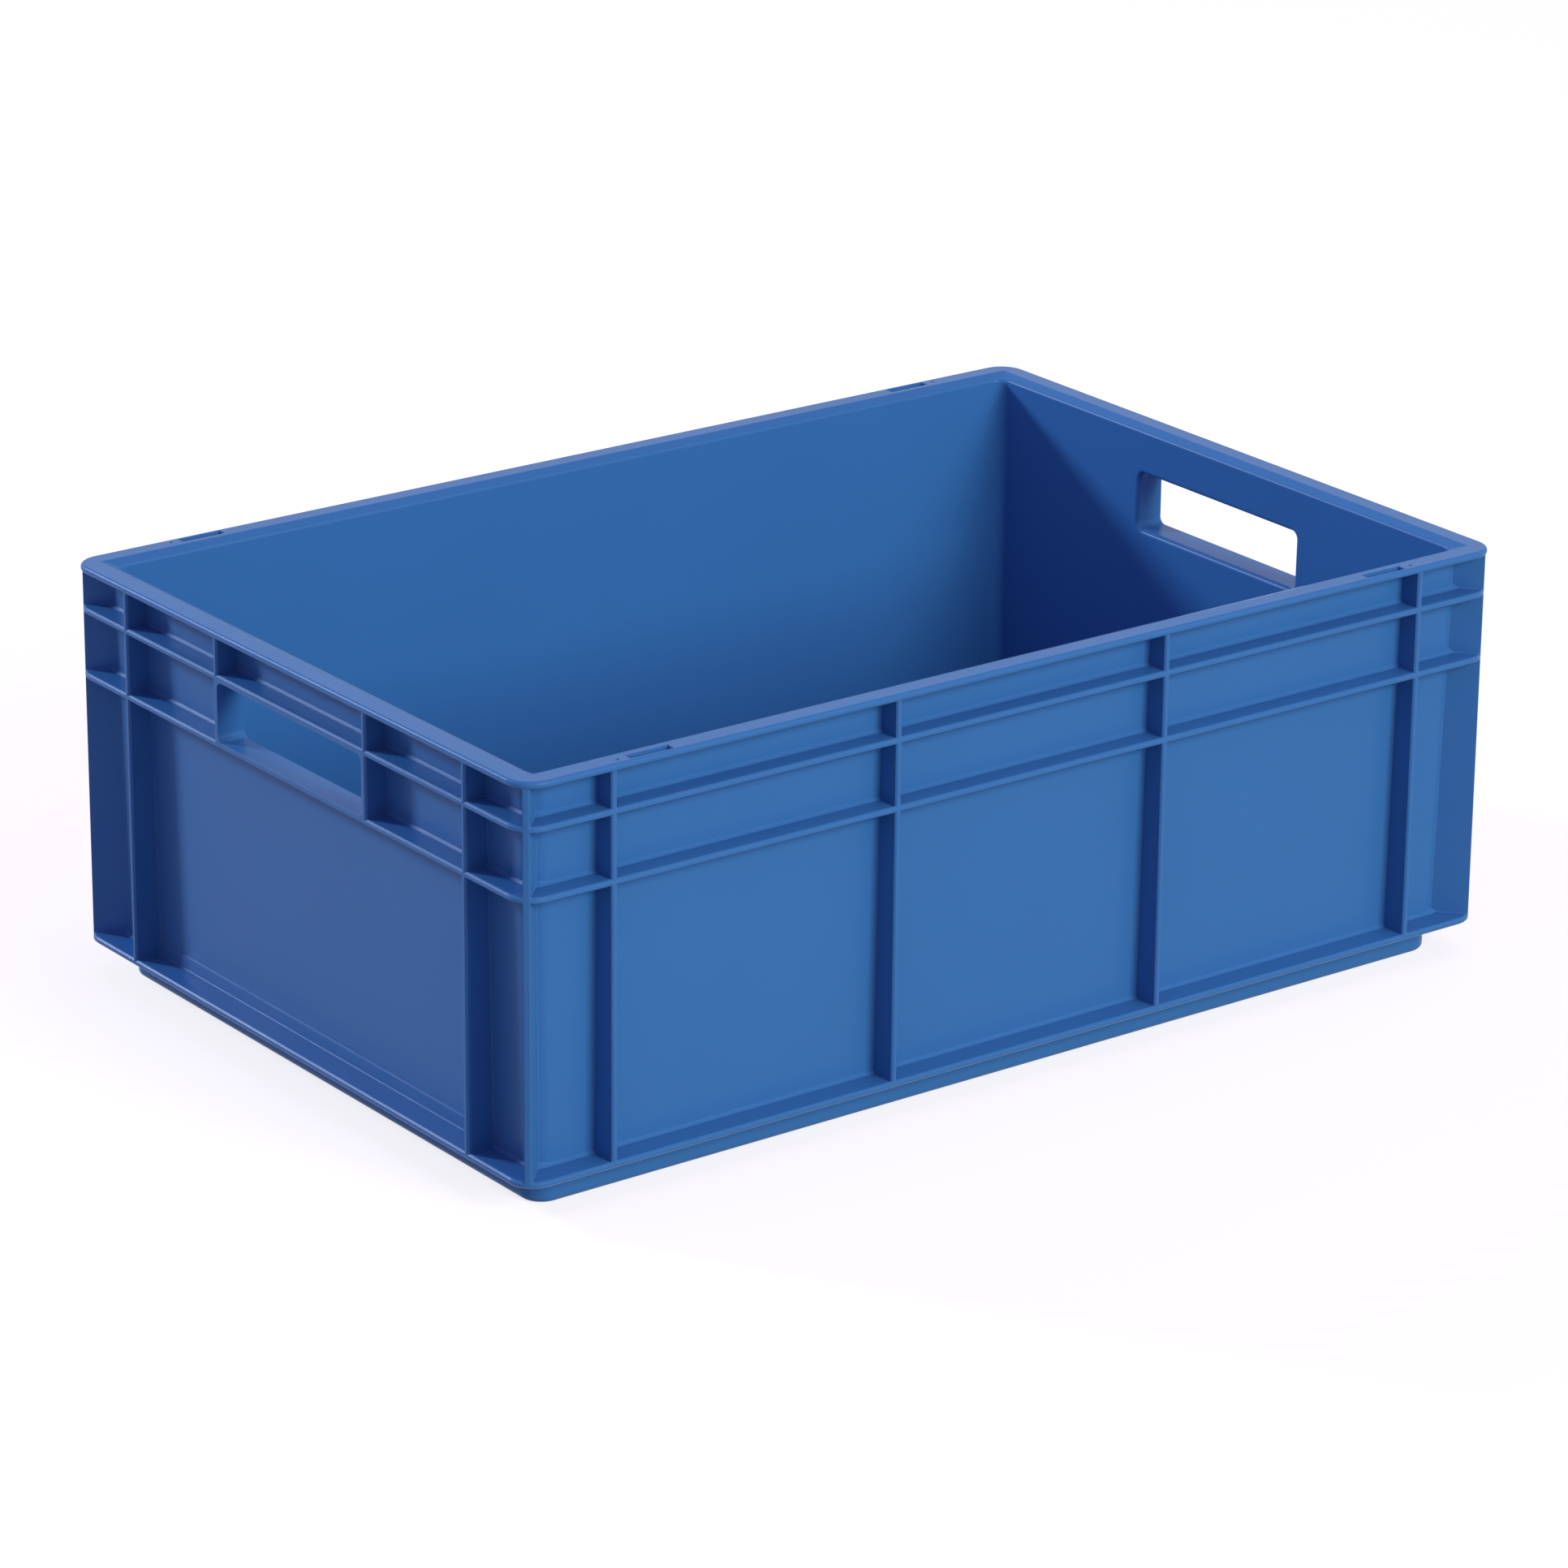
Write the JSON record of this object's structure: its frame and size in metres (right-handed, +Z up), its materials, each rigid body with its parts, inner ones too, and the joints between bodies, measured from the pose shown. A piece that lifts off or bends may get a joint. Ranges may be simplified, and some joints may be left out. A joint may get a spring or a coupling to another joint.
{
  "type": "stacking container",
  "caption": "Open rectangular plastic stacking container with ribbed walls, a flat rim, a stacking foot and a hand hole in each short side.",
  "frame": {"origin": "centre of the container at the underside of the stacking foot", "axes": "+X along the long sides, +Y across, +Z up; the long side that faces the camera is at -Y and the near short side at -X"},
  "size_m": [0.6, 0.4, 0.22],
  "materials": {
    "shell": "satin moulded"
  },
  "bodies": {
    "root": {"container_shell": "shell"}
  },
  "joints": []
}
